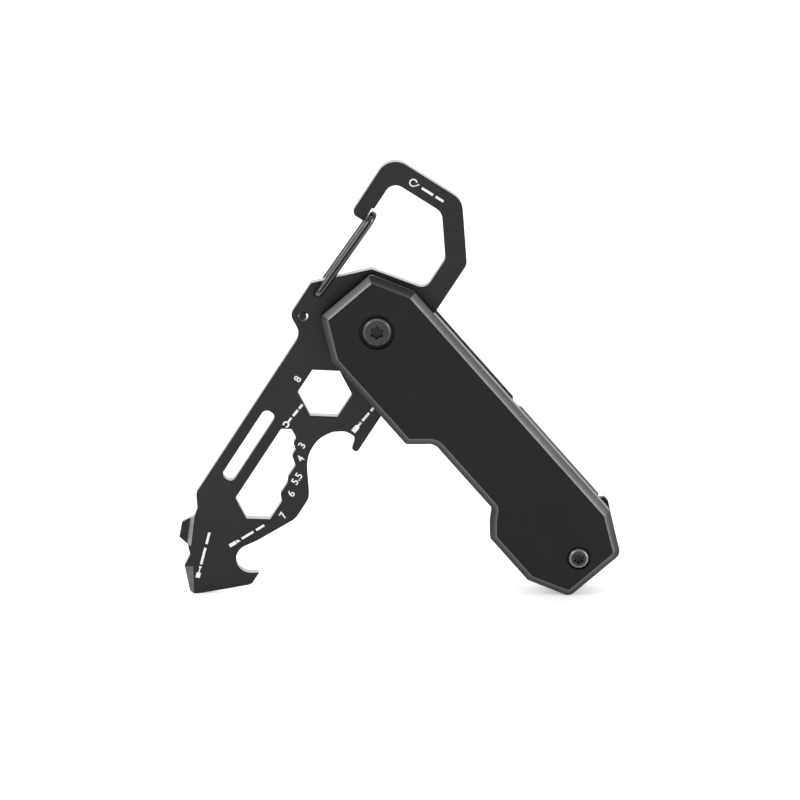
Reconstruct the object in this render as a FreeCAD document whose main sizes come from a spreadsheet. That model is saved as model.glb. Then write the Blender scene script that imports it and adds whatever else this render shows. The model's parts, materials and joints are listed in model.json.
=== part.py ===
# Folding pocket multi tool: a flat steel tool plate with a carabiner loop and
# a folding knife blade, both turning on one screw between the scales of an
# elongated octagonal handle.  All lengths are millimetres.
import FreeCAD, Part
import Sketcher
import math
import os

Vector = FreeCAD.Vector
Rotation = FreeCAD.Rotation
Placement = FreeCAD.Placement

doc = FreeCAD.newDocument("multi_tool")

# ----------------------------------------------------------------------------
# Driving dimensions
# ----------------------------------------------------------------------------
DIMS = [
    # pose of the whole tool, standing like an inverted V on its two ends
    ("pivot_across", -3.8160, "pivot axis, left/right"),
    ("pivot_height", 46.5660, "pivot axis above the ground"),
    ("front_plane", -1.7500, "front face of the tool plate, front/back"),
    ("handle_angle", -49.2, "direction of the handle, degrees"),
    ("plate_angle", -122.8, "direction of the tool end of the plate, degrees"),
    # layers through the thickness
    ("scale_thick", 2.88, "front scale"),
    ("plate_thick", 1.80, "tool plate"),
    ("liner_thick", 1.20, "centre liner"),
    ("blade_thick", 1.80, "knife blade"),
    ("back_thick", 1.84, "back scale"),
    ("washer_thick", 0.10, "bearing washers"),
    ("side_gap", 0.02, "running gap beside a washer"),
    # handle outline, measured from the pivot
    ("front_end", 8.10, "pivot to the front end"),
    ("rear_end", 56.88, "pivot to the rear end"),
    ("half_width", 9.20, "half width of the handle"),
    ("end_half", 5.55, "half width of the front end"),
    ("rear_half", 5.70, "half width of the rear end"),
    ("front_shoulder", 1.00, "front slanted edges end this far before the pivot"),
    ("rear_shoulder", 49.95, "rear slanted edges start here"),
    ("grip_floor", 5.53, "finger notch floor, distance from the axis line"),
    ("grip_from", 18.40, "finger notch, front edge"),
    ("grip_to", 40.10, "finger notch, rear edge"),
    ("rear_corner", 1.58, "rounding of the two rear corners"),
    ("chamfer_wide", 1.15, "front scale bevel, across"),
    ("chamfer_deep", 0.90, "front scale bevel, deep"),
    ("back_chamfer", 0.75, "back scale bevel"),
    ("back_inset", 0.37, "back scale, smaller at the sides"),
    ("back_rear_inset", 0.06, "back scale and liner, smaller at the rear end"),
    ("back_grip_far", 0.60, "finger notch of the back layers, longer at the rear"),
    ("back_front_inset", 0.90, "back scale and liner, smaller at the front end"),
    ("liner_half", 8.79, "liner edge beside the blade"),
    # rear screw
    ("rear_screw_at", 52.50, "pivot to rear screw"),
    ("rear_boss", 3.00, "rear standoff diameter"),
    ("rear_head", 3.45, "rear screw head diameter"),
    ("rear_seat", 4.10, "rear screw seat diameter"),
    ("rear_head_high", 0.95, "rear screw head height"),
    ("rear_seat_deep", 0.45, "rear screw seat depth"),
    ("rear_shank", 1.60, "rear screw shank diameter"),
    # pivot
    ("barrel", 4.00, "pivot barrel diameter"),
    ("run_fit", 0.05, "radial running clearance on the barrel"),
    ("pivot_head", 4.80, "pivot screw head diameter"),
    ("pivot_seat", 6.10, "pivot screw seat diameter"),
    ("pivot_seat_deep", 0.60, "pivot screw seat depth"),
    ("pivot_head_high", 0.85, "pivot screw head height"),
    ("pivot_shank", 2.40, "pivot screw shank diameter"),
    ("washer_wide", 8.00, "washer diameter"),
    # tool plate
    ("hex_flats", 8.00, "hexagonal wrench hole across flats"),
    ("hex_along", 14.30, "hexagon centre along the plate"),
    ("hex_across", -1.25, "hexagon centre across the plate"),
    ("slot_wide", 2.31, "long slot width"),
    ("slot_from", 22.00, "long slot start"),
    ("slot_to", 36.00, "long slot end"),
    ("slot_across", -7.21, "long slot centre line"),
    # wire gate
    ("wire", 1.30, "gate wire diameter"),
    ("wire_gap", 0.40, "gate wire to the front face of the plate"),
    ("wire_gap_back", 0.06, "gate wire to the back face of the plate"),
    ("gate_across", -11.60, "gate hinge across the plate"),
    ("gate_lean", -2.0, "gate wire against the plate, degrees"),
    ("gate_hinge", 0.30, "gate hinge hole along the plate"),
    ("gate_anchor", 5.08, "spring end hole along the plate"),
    ("gate_hole", 1.50, "gate hinge hole diameter"),
    ("anchor_hole", 1.70, "spring end hole diameter"),
    ("gate_turn", -14.20, "centre of the loop end along the plate"),
    ("gate_bend", 0.85, "bend radius of the wire ends"),
    # blade
    ("blade_edge", -4.20, "cutting edge, distance from the axis line"),
    ("blade_back", 8.20, "blade back, distance from the axis line"),
    ("ridge_back", 8.95, "raised part of the blade back"),
    ("ridge_from", 27.30, "raised part starts"),
    ("ridge_to", 47.70, "raised part ends"),
    ("ridge_bevel", 0.60, "bevel along the raised part"),
    ("tang_small", 5.50, "tang radius on the stop pin side"),
    ("tang_large", 7.50, "tang radius elsewhere"),
    ("stop_pin", 1.80, "stop pin diameter"),
    ("stop_across", -6.20, "stop pin across"),
    ("stop_along", 2.26, "stop pin along"),
    ("ball", 1.20, "detent ball diameter"),
]
sheet = doc.addObject("Spreadsheet::Sheet", "Params")
VAL = {}
for i, (name, value, note) in enumerate(DIMS):
    r = i + 1
    sheet.set("A%d" % r, note)
    sheet.set("B%d" % r, repr(value))
    sheet.setAlias("B%d" % r, name)
    VAL[name] = value
doc.recompute()


class Dim:
    """A length with its spreadsheet expression."""

    def __init__(self, v, e):
        self.v, self.e = float(v), e

    def __add__(self, o):
        o = dim(o)
        return Dim(self.v + o.v, "(%s + %s)" % (self.e, o.e))

    def __sub__(self, o):
        o = dim(o)
        return Dim(self.v - o.v, "(%s - %s)" % (self.e, o.e))

    def __mul__(self, k):
        return Dim(self.v * k, "(%s * %.9f)" % (self.e, k))

    def __neg__(self):
        return Dim(-self.v, "(0 - %s)" % self.e)


def dim(x):
    if isinstance(x, Dim):
        return x
    return Dim(x, "%.6f" % x)


def D(name):
    return Dim(VAL[name], "Params." + name)


# ----------------------------------------------------------------------------
# Building helpers
# ----------------------------------------------------------------------------
def new_body(name):
    b = doc.addObject("PartDesign::Body", name)
    b.Label = name
    return b


def origin_plane(b, role):
    for f in b.Origin.OriginFeatures:
        if f.Role == role:
            return f
    raise ValueError(role)


def bind(obj, prop, value):
    value = dim(value)
    if "Params." in value.e:
        obj.setExpression(prop, value.e)
    return value.v


def rounded(points):
    """Edges of a closed outline; a point is (x, y) or (x, y, corner radius)."""
    n = len(points)
    ends = []
    for i in range(n):
        p = points[i]
        x, y = p[0], p[1]
        r = p[2] if len(p) > 2 else 0.0
        a, c = points[i - 1], points[(i + 1) % n]
        if r <= 0:
            ends.append(((x, y), (x, y), None))
            continue
        ax, ay = a[0] - x, a[1] - y
        cx, cy = c[0] - x, c[1] - y
        la, lc = math.hypot(ax, ay), math.hypot(cx, cy)
        ax, ay, cx, cy = ax / la, ay / la, cx / lc, cy / lc
        ang = math.acos(max(-1.0, min(1.0, ax * cx + ay * cy)))
        cut = r / math.tan(ang / 2)
        cut = min(cut, 0.49 * la, 0.49 * lc)
        r = cut * math.tan(ang / 2)
        bx, by = ax + cx, ay + cy
        lb = math.hypot(bx, by)
        far = r / math.sin(ang / 2)
        mx, my = x + bx / lb * far, y + by / lb * far
        p0 = (x + ax * cut, y + ay * cut)
        p1 = (x + cx * cut, y + cy * cut)
        ends.append((p0, p1, (mx, my, r)))
    edges = []
    for i in range(n):
        p0, p1, arc = ends[i]
        if arc:
            mx, my, r = arc
            a0 = math.atan2(p0[1] - my, p0[0] - mx)
            a1 = math.atan2(p1[1] - my, p1[0] - mx)
            turn = (a1 - a0) % (2 * math.pi)
            if turn > math.pi:
                a0, a1 = a1, a0
            edges.append(Part.ArcOfCircle(
                Part.Circle(Vector(mx, my, 0), Vector(0, 0, 1), r), a0, a1))
        q = ends[(i + 1) % n][0]
        if math.hypot(q[0] - p1[0], q[1] - p1[1]) > 1e-6:
            edges.append(Part.LineSegment(Vector(p1[0], p1[1], 0), Vector(q[0], q[1], 0)))
    return edges


def new_sketch(b, name, role, level=0.0):
    s = b.newObject("Sketcher::SketchObject", name)
    s.AttachmentSupport = (origin_plane(b, role), [""])
    s.MapMode = "FlatFace"
    v = bind(s, ".AttachmentOffset.Base.z", level)
    s.AttachmentOffset = Placement(Vector(0, 0, v), Rotation())
    return s


def tie(s, geo, pos, x, y):
    """Hold one sketch point at (x, y) from the sketch origin."""
    for kind, value in (("DistanceX", x), ("DistanceY", y)):
        value = dim(value)
        if abs(value.v) < 1e-9 and "Params." not in value.e:
            ax = -2 if kind == "DistanceX" else -1
            s.addConstraint(Sketcher.Constraint("PointOnObject", geo, pos, ax))
            continue
        k = s.addConstraint(Sketcher.Constraint(kind, -1, 1, geo, pos, value.v))
        if "Params." in value.e:
            s.setExpression("Constraints[%d]" % k, value.e)


def draw_polygon(s, pts):
    """Closed straight-sided outline, every corner dimensioned."""
    n = len(pts)
    first = s.GeometryCount
    for i in range(n):
        a, c = pts[i], pts[(i + 1) % n]
        s.addGeometry(Part.LineSegment(Vector(dim(a[0]).v, dim(a[1]).v, 0),
                                       Vector(dim(c[0]).v, dim(c[1]).v, 0)), False)
    for i in range(n):
        s.addConstraint(Sketcher.Constraint("Coincident", first + i, 2,
                                            first + (i + 1) % n, 1))
    for i in range(n):
        tie(s, first + i, 1, pts[i][0], pts[i][1])


def draw_rounded(s, pts):
    for g in rounded(pts):
        s.addGeometry(g, False)


def draw_circle(s, x, y, diameter):
    d = dim(diameter)
    k = s.addGeometry(Part.Circle(Vector(dim(x).v, dim(y).v, 0), Vector(0, 0, 1), d.v / 2), False)
    j = s.addConstraint(Sketcher.Constraint("Diameter", k, d.v))
    if "Params." in d.e:
        s.setExpression("Constraints[%d]" % j, d.e)
    if abs(dim(x).v) < 1e-9 and abs(dim(y).v) < 1e-9:
        s.addConstraint(Sketcher.Constraint("Coincident", k, 3, -1, 1))
    else:
        tie(s, k, 3, x, y)


def pad(b, name, s, length, back=False):
    p = b.newObject("PartDesign::Pad", name)
    p.Profile = s
    p.Length = bind(p, "Length", length)
    p.Reversed = back
    s.Visibility = False
    doc.recompute()
    return p


def pocket(b, name, s, length):
    """Cut that is turned round when its first direction removes nothing."""
    doc.recompute()
    before = b.Shape.Volume
    p = b.newObject("PartDesign::Pocket", name)
    p.Profile = s
    p.Length = bind(p, "Length", length)
    s.Visibility = False
    doc.recompute()
    if abs(before - b.Shape.Volume) < 1e-6 or not b.Shape.isValid():
        p.Reversed = True
        doc.recompute()
    return p


def through(b, name, s):
    doc.recompute()
    before = b.Shape.Volume
    p = b.newObject("PartDesign::Pocket", name)
    p.Profile = s
    p.Type = "ThroughAll"
    p.Midplane = False
    s.Visibility = False
    doc.recompute()
    if abs(before - b.Shape.Volume) < 1e-6:
        p.Reversed = True
        doc.recompute()
    return p


def edges_on(b, pick):
    out = []
    for i, e in enumerate(b.Shape.Edges):
        if pick(e):
            out.append("Edge%d" % (i + 1))
    return out


def flat_at(e, z, tol=1e-4):
    bb = e.BoundBox
    return abs(bb.ZMin - z) < tol and abs(bb.ZMax - z) < tol


def bevel(b, name, names, wide, deep=None):
    last = b.Tip
    c = b.newObject("PartDesign::Chamfer", name)
    c.Base = (last, names)
    if deep is None:
        c.Size = bind(c, "Size", wide)
    else:
        c.ChamferType = "Two distances"
        c.Size = bind(c, "Size", wide)
        c.Size2 = bind(c, "Size2", deep)
    doc.recompute()
    return c


def soften(b, name, names, radius):
    last = b.Tip
    f = b.newObject("PartDesign::Fillet", name)
    f.Base = (last, names)
    f.Radius = bind(f, "Radius", radius)
    doc.recompute()
    return f


def put(obj, angle, back_face):
    """Local x along the member, local z towards the front of the tool."""
    obj.Placement = Placement(
        Vector(VAL["pivot_across"], back_face.v, VAL["pivot_height"]),
        Rotation(Vector(1, 0, 0), 90) * Rotation(Vector(0, 0, 1), angle.v))
    obj.setExpression(".Placement.Base.x", "Params.pivot_across")
    obj.setExpression(".Placement.Base.y", back_face.e)
    obj.setExpression(".Placement.Base.z", "Params.pivot_height")
    obj.setExpression(
        ".Placement.Rotation",
        "create(<<rotation>>; create(<<vector>>; 1; 0; 0); 90) * "
        "create(<<rotation>>; create(<<vector>>; 0; 0; 1); %s)" % angle.e)


def torx(s, width, x=0.0, y=0.0):
    """Six-lobed driver socket outline."""
    pts = []
    big, small = width / 2.0, width / 2.0 * 0.72
    for k in range(12):
        a = math.radians(15 + 30 * k)
        rad = big * 1.04 if k % 2 == 0 else small
        pts.append((x + rad * math.cos(a), y + rad * math.sin(a), width * 0.085))
    draw_rounded(s, pts)


HANDLE = D("handle_angle")
PLATE = D("plate_angle")

# back faces of the layers, measured front to back
plate_front = D("front_plane")
plate_rear = plate_front + D("plate_thick")
washer_step = D("washer_thick") + D("side_gap")
scale_rear = plate_front - washer_step
liner_front = plate_rear + washer_step
liner_rear = liner_front + D("liner_thick")
blade_front = liner_rear + washer_step
blade_rear = blade_front + D("blade_thick")
back_front = blade_rear + washer_step
back_rear = back_front + D("back_thick")


# ----------------------------------------------------------------------------
# Handle scales and liner
# ----------------------------------------------------------------------------
def handle_outline(side, front_in, grip_in, rear_in, grip_far):
    hw = D("half_width") - side
    eh = D("end_half") - side * 0.6
    rh = D("rear_half") - side * 0.3
    fe = D("front_end") - front_in
    re_ = D("rear_end") - rear_in
    fs = D("front_shoulder")
    rs = D("rear_shoulder")
    gf = D("grip_floor") - grip_in
    ga, gb = D("grip_from"), D("grip_to") + grip_far
    return [(-fe, eh), (-fs, hw), (rs, hw), (re_, rh), (re_, -rh), (rs, -hw),
            (gb, -hw), (gb - 2.2, -gf - 1.865), (gb - 3.9, -gf), (ga + 2.95, -gf),
            (ga - 0.2, -hw), (-fs, -hw), (-fe, -eh)]


def shrink(points, by):
    """Outline of the same corners, moved inwards by one distance."""
    n = len(points)
    area = sum(points[i][0] * points[(i + 1) % n][1] - points[(i + 1) % n][0] * points[i][1]
               for i in range(n))
    turn = 1.0 if area > 0 else -1.0
    lines = []
    for i in range(n):
        (x0, y0), (x1, y1) = points[i], points[(i + 1) % n]
        ln = math.hypot(x1 - x0, y1 - y0)
        ux, uy = (x1 - x0) / ln, (y1 - y0) / ln
        lines.append((x0 - uy * turn * by, y0 + ux * turn * by, ux, uy))
    out = []
    for i in range(n):
        ax, ay, au, av = lines[i - 1]
        bx, by_, bu, bv = lines[i]
        k = ((bx - ax) * bv - (by_ - ay) * bu) / (au * bv - av * bu)
        out.append((ax + au * k, ay + av * k))
    return out


def with_corners(points, radii):
    return [(x, y, r) for (x, y), r in zip(points, radii)]


ZERO = Dim(0, "0")

# front scale
fs = new_body("front_scale")
OUTER_R = [1.0, 0.8, 0.6, VAL["rear_corner"], VAL["rear_corner"], 0.6, 0.8, 0.6, 0.5, 2.0, 0.7, 0.8, 1.0]
INNER_R = [0.35, 0.3, 0.3, 0.6, 0.6, 0.3, 0.3, 0.4, 1.6, 3.1, 0.3, 0.3, 0.35]
flat = [(x.v, y.v) for x, y in handle_outline(ZERO, ZERO, ZERO, ZERO, ZERO)]
wall_high = D("scale_thick") - D("chamfer_deep")
sk = new_sketch(fs, "fs_outline", "XY_Plane")
draw_rounded(sk, with_corners(flat, OUTER_R))
pad(fs, "fs_pad", sk, wall_high)
low = new_sketch(fs, "fs_bevel_low", "XY_Plane", wall_high)
draw_rounded(low, with_corners(flat, OUTER_R))
top = new_sketch(fs, "fs_bevel_top", "XY_Plane", D("scale_thick"))
draw_rounded(top, with_corners(shrink(flat, VAL["chamfer_wide"]), INNER_R))
doc.recompute()
loft = fs.newObject("PartDesign::AdditiveLoft", "fs_bevel")
loft.Profile = low
loft.Sections = [top]
loft.Ruled = True
low.Visibility = False
top.Visibility = False
doc.recompute()
sk = new_sketch(fs, "fs_pivot_seat", "XY_Plane", D("scale_thick"))
draw_circle(sk, 0, 0, D("pivot_seat"))
pocket(fs, "fs_pivot_seat_cut", sk, D("pivot_seat_deep"))
sk = new_sketch(fs, "fs_rear_seat", "XY_Plane", D("scale_thick"))
draw_circle(sk, D("rear_screw_at"), 0, D("rear_seat"))
pocket(fs, "fs_rear_seat_cut", sk, D("rear_seat_deep"))
sk = new_sketch(fs, "fs_pivot_bore", "XY_Plane", 0.0)
draw_circle(sk, 0, 0, D("barrel"))
pocket(fs, "fs_pivot_bore_cut", sk, D("scale_thick") - D("pivot_seat_deep") - 0.40)
sk = new_sketch(fs, "fs_shank_bore", "XY_Plane", 0.0)
draw_circle(sk, 0, 0, D("pivot_shank"))
draw_circle(sk, D("rear_screw_at"), 0, D("rear_shank"))
pocket(fs, "fs_shank_bore_cut", sk, D("scale_thick"))
put(fs, HANDLE, scale_rear)

# back scale: the blade back is reached through a cut-out in its long edge
bs = new_body("back_scale")
sk = new_sketch(bs, "bs_outline", "XY_Plane")
outline = handle_outline(D("back_inset"), D("back_front_inset"), D("back_inset"),
                         D("back_rear_inset"), D("back_grip_far"))
cut_deep = 1.45
hw_b = D("half_width") - D("back_inset")
outline[2:3] = [(D("ridge_from") - 1.9, hw_b), (D("ridge_from") - 0.5, hw_b - cut_deep),
                (D("ridge_to") + 0.3, hw_b - cut_deep), (D("ridge_to") + 1.45, D("half_width") - 0.05),
                (D("rear_shoulder") + 0.15, D("half_width") - 0.05)]
back_r = [0, 0, 0, 0, 0, 0, 0, 1.7, 1.7, 0, 0, 0, 0, 1.8, 0, 0, 0]
draw_rounded(sk, with_corners([(dim(x).v, dim(y).v) for x, y in outline], back_r))
pad(bs, "bs_pad", sk, D("back_thick"))
bevel(bs, "bs_bevel", edges_on(bs, lambda e: flat_at(e, 0.0)), D("back_chamfer"))
sk = new_sketch(bs, "bs_pivot_seat", "XY_Plane", 0.0)
draw_circle(sk, 0, 0, D("pivot_head") + 0.10)
pocket(bs, "bs_pivot_seat_cut", sk, 0.85)
sk = new_sketch(bs, "bs_pivot_bore", "XY_Plane", 0.0)
draw_circle(sk, 0, 0, D("barrel"))
pocket(bs, "bs_pivot_bore_cut", sk, D("back_thick"))
sk = new_sketch(bs, "bs_rear_seat", "XY_Plane", 0.0)
draw_circle(sk, D("rear_screw_at"), 0, D("rear_head") + 0.10)
pocket(bs, "bs_rear_seat_cut", sk, 0.75)
sk = new_sketch(bs, "bs_rear_bore", "XY_Plane", 0.0)
draw_circle(sk, D("rear_screw_at"), 0, D("rear_shank"))
pocket(bs, "bs_rear_bore_cut", sk, D("back_thick"))
sk = new_sketch(bs, "bs_pin_bore", "XY_Plane", D("back_thick"))
draw_circle(sk, D("stop_along"), D("stop_across"), D("stop_pin"))
pocket(bs, "bs_pin_bore_cut", sk, 1.00)
sk = new_sketch(bs, "bs_ball_seat", "XY_Plane", D("back_thick"))
draw_circle(sk, 5.6, 2.4, D("ball"))
pocket(bs, "bs_ball_seat_cut", sk, 1.15)
put(bs, HANDLE, back_rear)

# centre liner between the tool plate and the blade
cl = new_body("centre_liner")
sk = new_sketch(cl, "cl_outline", "XY_Plane")
liner_in = D("half_width") - D("liner_half")
outline = handle_outline(liner_in, D("back_front_inset") + 0.2, liner_in,
                         D("back_rear_inset") + 0.25, D("back_grip_far"))
draw_polygon(sk, outline)
pad(cl, "cl_pad", sk, D("liner_thick"))
sk = new_sketch(cl, "cl_bores", "XY_Plane", 0.0)
draw_circle(sk, 0, 0, D("barrel"))
draw_circle(sk, D("rear_screw_at"), 0, D("rear_boss"))
draw_circle(sk, 18.0, 0, 3.2)
draw_circle(sk, 27.0, 0, 3.2)
draw_circle(sk, 36.0, 0, 3.2)
pocket(cl, "cl_bores_cut", sk, D("liner_thick"))
sk = new_sketch(cl, "cl_pin_bore", "XY_Plane", 0.0)
draw_circle(sk, D("stop_along"), D("stop_across"), D("stop_pin"))
pocket(cl, "cl_pin_bore_cut", sk, 0.80)
sk = new_sketch(cl, "cl_ball_seat", "XY_Plane", D("liner_thick"))
draw_circle(sk, -5.8, 0, D("ball"))
pocket(cl, "cl_ball_seat_cut", sk, 1.15)
put(cl, HANDLE, liner_rear)

# ----------------------------------------------------------------------------
# Pivot and rear hardware
# ----------------------------------------------------------------------------
# barrel: plain tube from the back scale seat into the front scale
pb = new_body("pivot_barrel")
barrel_rear = back_rear - 0.85
barrel_long = (back_rear - 0.85) - (scale_rear - (D("scale_thick") - D("pivot_seat_deep") - 0.40))
sk = new_sketch(pb, "pb_section", "XY_Plane")
draw_circle(sk, 0, 0, D("barrel"))
draw_circle(sk, 0, 0, D("pivot_shank"))
pad(pb, "pb_pad", sk, barrel_long)
put(pb, HANDLE, barrel_rear)

# front pivot screw: flat bevelled head standing above its seat
ps = new_body("pivot_screw_front")
sk = new_sketch(ps, "ps_head", "XY_Plane")
draw_circle(sk, 0, 0, D("pivot_head"))
pad(ps, "ps_head_pad", sk, D("pivot_head_high"))
bevel(ps, "ps_head_bevel", edges_on(ps, lambda e: flat_at(e, VAL["pivot_head_high"])), 0.38, 0.30)
sk = new_sketch(ps, "ps_shank", "XY_Plane")
draw_circle(sk, 0, 0, D("pivot_shank"))
pad(ps, "ps_shank_pad", sk, 3.6, back=True)
sk = new_sketch(ps, "ps_socket", "XY_Plane", D("pivot_head_high"))
torx(sk, 2.60)
pocket(ps, "ps_socket_cut", sk, 0.70)
put(ps, HANDLE, scale_rear - D("scale_thick") + D("pivot_seat_deep"))

# back pivot screw: flush head
pq = new_body("pivot_screw_back")
sk = new_sketch(pq, "pq_head", "XY_Plane")
draw_circle(sk, 0, 0, D("pivot_head"))
pad(pq, "pq_head_pad", sk, 0.75)
sk = new_sketch(pq, "pq_shank", "XY_Plane", 0.75)
draw_circle(sk, 0, 0, D("pivot_shank"))
pad(pq, "pq_shank_pad", sk, 3.6)
sk = new_sketch(pq, "pq_socket", "XY_Plane", 0.0)
torx(sk, 2.35)
pocket(pq, "pq_socket_cut", sk, 0.55)
put(pq, HANDLE, back_rear - 0.10)

# rear standoff: threaded post through the liner
st = new_body("rear_standoff")
sk = new_sketch(st, "st_section", "XY_Plane")
draw_circle(sk, 0, 0, D("rear_boss"))
draw_circle(sk, 0, 0, D("rear_shank"))
pad(st, "st_pad", sk, back_front - scale_rear)


def put_rear(obj, back_face):
    """Rear screw parts sit on the handle axis, away from the pivot."""
    put(obj, HANDLE, back_face)
    a = math.radians(VAL["handle_angle"])
    obj.setExpression(".Placement.Base.x",
                      "Params.pivot_across + Params.rear_screw_at * cos(Params.handle_angle * 1deg)")
    obj.setExpression(".Placement.Base.z",
                      "Params.pivot_height + Params.rear_screw_at * sin(Params.handle_angle * 1deg)")
    obj.Placement = Placement(
        Vector(VAL["pivot_across"] + VAL["rear_screw_at"] * math.cos(a), back_face.v,
               VAL["pivot_height"] + VAL["rear_screw_at"] * math.sin(a)),
        obj.Placement.Rotation)


put_rear(st, back_front)

rf = new_body("rear_screw_front")
sk = new_sketch(rf, "rf_head", "XY_Plane")
draw_circle(sk, 0, 0, D("rear_head"))
pad(rf, "rf_head_pad", sk, D("rear_head_high"))
soften(rf, "rf_dome", edges_on(rf, lambda e: flat_at(e, VAL["rear_head_high"])), 0.60)
sk = new_sketch(rf, "rf_shank", "XY_Plane")
draw_circle(sk, 0, 0, D("rear_shank"))
pad(rf, "rf_shank_pad", sk, 4.0, back=True)
sk = new_sketch(rf, "rf_socket", "XY_Plane", D("rear_head_high"))
torx(sk, 2.05)
pocket(rf, "rf_socket_cut", sk, 0.70)
put_rear(rf, scale_rear - D("scale_thick") + D("rear_seat_deep"))

rb = new_body("rear_screw_back")
sk = new_sketch(rb, "rb_head", "XY_Plane")
draw_circle(sk, 0, 0, D("rear_head"))
pad(rb, "rb_head_pad", sk, 0.65)
sk = new_sketch(rb, "rb_shank", "XY_Plane", 0.65)
draw_circle(sk, 0, 0, D("rear_shank"))
pad(rb, "rb_shank_pad", sk, 2.8)
sk = new_sketch(rb, "rb_socket", "XY_Plane", 0.0)
torx(sk, 1.75)
pocket(rb, "rb_socket_cut", sk, 0.45)
put_rear(rb, back_rear - 0.10)


# bearing washers on the barrel
def washer(name, back_face):
    w = new_body(name)
    s = new_sketch(w, name + "_ring", "XY_Plane")
    draw_circle(s, 0, 0, D("washer_wide"))
    draw_circle(s, 0, 0, D("barrel"))
    pad(w, name + "_pad", s, D("washer_thick"))
    put(w, HANDLE, back_face)
    return w


washer("plate_washer_front", scale_rear + D("washer_thick"))
washer("plate_washer_back", liner_front)
washer("blade_washer_front", liner_rear + D("washer_thick"))
washer("blade_washer_back", back_front)

# stop pin for the blade, pressed into the liner and the back scale
sp = new_body("blade_stop_pin")
sk = new_sketch(sp, "sp_section", "XY_Plane")
draw_circle(sk, D("stop_along"), D("stop_across"), D("stop_pin"))
pad(sp, "sp_pad", sk, (back_front + 1.0) - (liner_rear - 0.80))
put(sp, HANDLE, back_front + 1.0)


# detent balls
def ball(name, along, across, centre):
    body = new_body(name)
    s = body.newObject("Sketcher::SketchObject", name + "_half")
    s.AttachmentSupport = (origin_plane(body, "XY_Plane"), [""])
    s.MapMode = "FlatFace"
    rad = VAL["ball"] / 2
    s.addGeometry(Part.ArcOfCircle(Part.Circle(Vector(0, 0, 0), Vector(0, 0, 1), rad),
                                   -math.pi / 2, math.pi / 2), False)
    s.addGeometry(Part.LineSegment(Vector(0, rad, 0), Vector(0, -rad, 0)), False)
    k = s.addConstraint(Sketcher.Constraint("Coincident", 0, 3, -1, 1))
    k = s.addConstraint(Sketcher.Constraint("Radius", 0, rad))
    s.setExpression("Constraints[%d]" % k, "Params.ball / 2")
    s.addConstraint(Sketcher.Constraint("Coincident", 0, 2, 1, 1))
    s.addConstraint(Sketcher.Constraint("Coincident", 0, 1, 1, 2))
    s.addConstraint(Sketcher.Constraint("PointOnObject", 1, 1, -2))
    s.addConstraint(Sketcher.Constraint("PointOnObject", 1, 2, -2))
    rev = body.newObject("PartDesign::Revolution", name + "_turn")
    rev.Profile = s
    rev.ReferenceAxis = (s, ["V_Axis"])
    rev.Angle = 360
    doc.recompute()
    a = math.radians(VAL["handle_angle"])
    rot = Rotation(Vector(1, 0, 0), 90) * Rotation(Vector(0, 0, 1), VAL["handle_angle"])
    off = rot.multVec(Vector(along, across, 0))
    body.Placement = Placement(Vector(VAL["pivot_across"] + off.x, centre.v,
                                      VAL["pivot_height"] + off.z), rot)
    body.setExpression(".Placement.Base.y", centre.e)
    return body


ball("plate_detent_ball", -5.8, 0.0, liner_front + 0.50)
ball("blade_detent_ball", 5.6, 2.4, back_front + 0.50)

# ----------------------------------------------------------------------------
# Tool plate: local x towards the tool end, local y towards the opener side
# ----------------------------------------------------------------------------
tp = new_body("tool_plate")
sk = new_sketch(tp, "tp_outline", "XY_Plane")
def on_ground(s):
    a = math.radians(VAL["plate_angle"])
    return (s, -(VAL["pivot_height"] + s * math.sin(a)) / math.cos(a), 0.0)


OUTLINE = [
    # carabiner loop, outer side, from the nose round to the opener side
    (-14.40, -11.90, 0.20), (-14.40, -14.36, 1.00), (-26.36, -14.36, 3.20),
    (-26.36, 0.125, 3.50), (-17.47, 6.84, 1.90), (-3.00, 6.84, 2.0),
    (1.00, 8.94, 2.0),
    # opener side down to the rounded lip of the bottle opener and its notch
    (20.12, 8.94, 0.50), (20.12, 7.85, 0.50), (18.00, 7.30, 0.80),
    (17.95, 5.40, 2.40), (19.29, 3.51, 2.60), (21.55, 2.10, 4.50), (24.57, 2.10, 5.50),
    (26.62, 2.99, 8.00), (31.15, 6.42, 3.00), (35.60, 6.42, 3.60), (42.40, 2.97, 2.00),
    # box cutter notch and its pointed hook
    (44.90, 1.35, 2.40), (46.71, 1.35, 2.40), (48.13, 2.77, 2.40), (48.13, 4.60, 2.40),
    (46.93, 6.36, 0.10), (49.42, 6.36, 1.20),
    # tip: a short flat that stands on the ground
    (52.10, 3.50, 0.0), on_ground(55.62), on_ground(56.05), (56.12, -1.86, 0.45),
    (52.85, -5.05, 0.45), (50.60, -5.27, 0.70), (49.48, -6.45, 0.25),
    # side screwdriver tooth
    (49.15, -8.42, 0.15), (46.65, -9.45, 0.12), (44.60, -8.28, 0.60), (43.05, -8.60, 0.90),
    (40.85, -10.27, 1.30),
    # long straight edge up to the gate spring end
    (7.75, -10.27, 2.60), (5.97, -13.57, 1.50), (-0.60, -13.57, 0.50),
    # lower side of the carabiner opening
    (-8.15, -6.25, 0.90), (-10.18, 3.29, 1.70), (-16.26, 3.29, 1.60),
    (-22.77, -1.63, 2.20), (-22.77, -11.53, 1.90), (-17.10, -11.53, 0.15),
    (-17.00, -11.90, 0.10),
]
draw_rounded(sk, OUTLINE)
pad(tp, "tp_pad", sk, D("plate_thick"))

sk = new_sketch(tp, "tp_bores", "XY_Plane", 0.0)
draw_circle(sk, 0, 0, D("barrel") + D("run_fit") * 2)
draw_circle(sk, D("gate_hinge"), D("gate_across"), D("gate_hole"))
draw_circle(sk, D("gate_anchor") - 0.065, D("gate_across") + 0.10, D("anchor_hole"))
pocket(tp, "tp_bores_cut", sk, D("plate_thick"))

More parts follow.
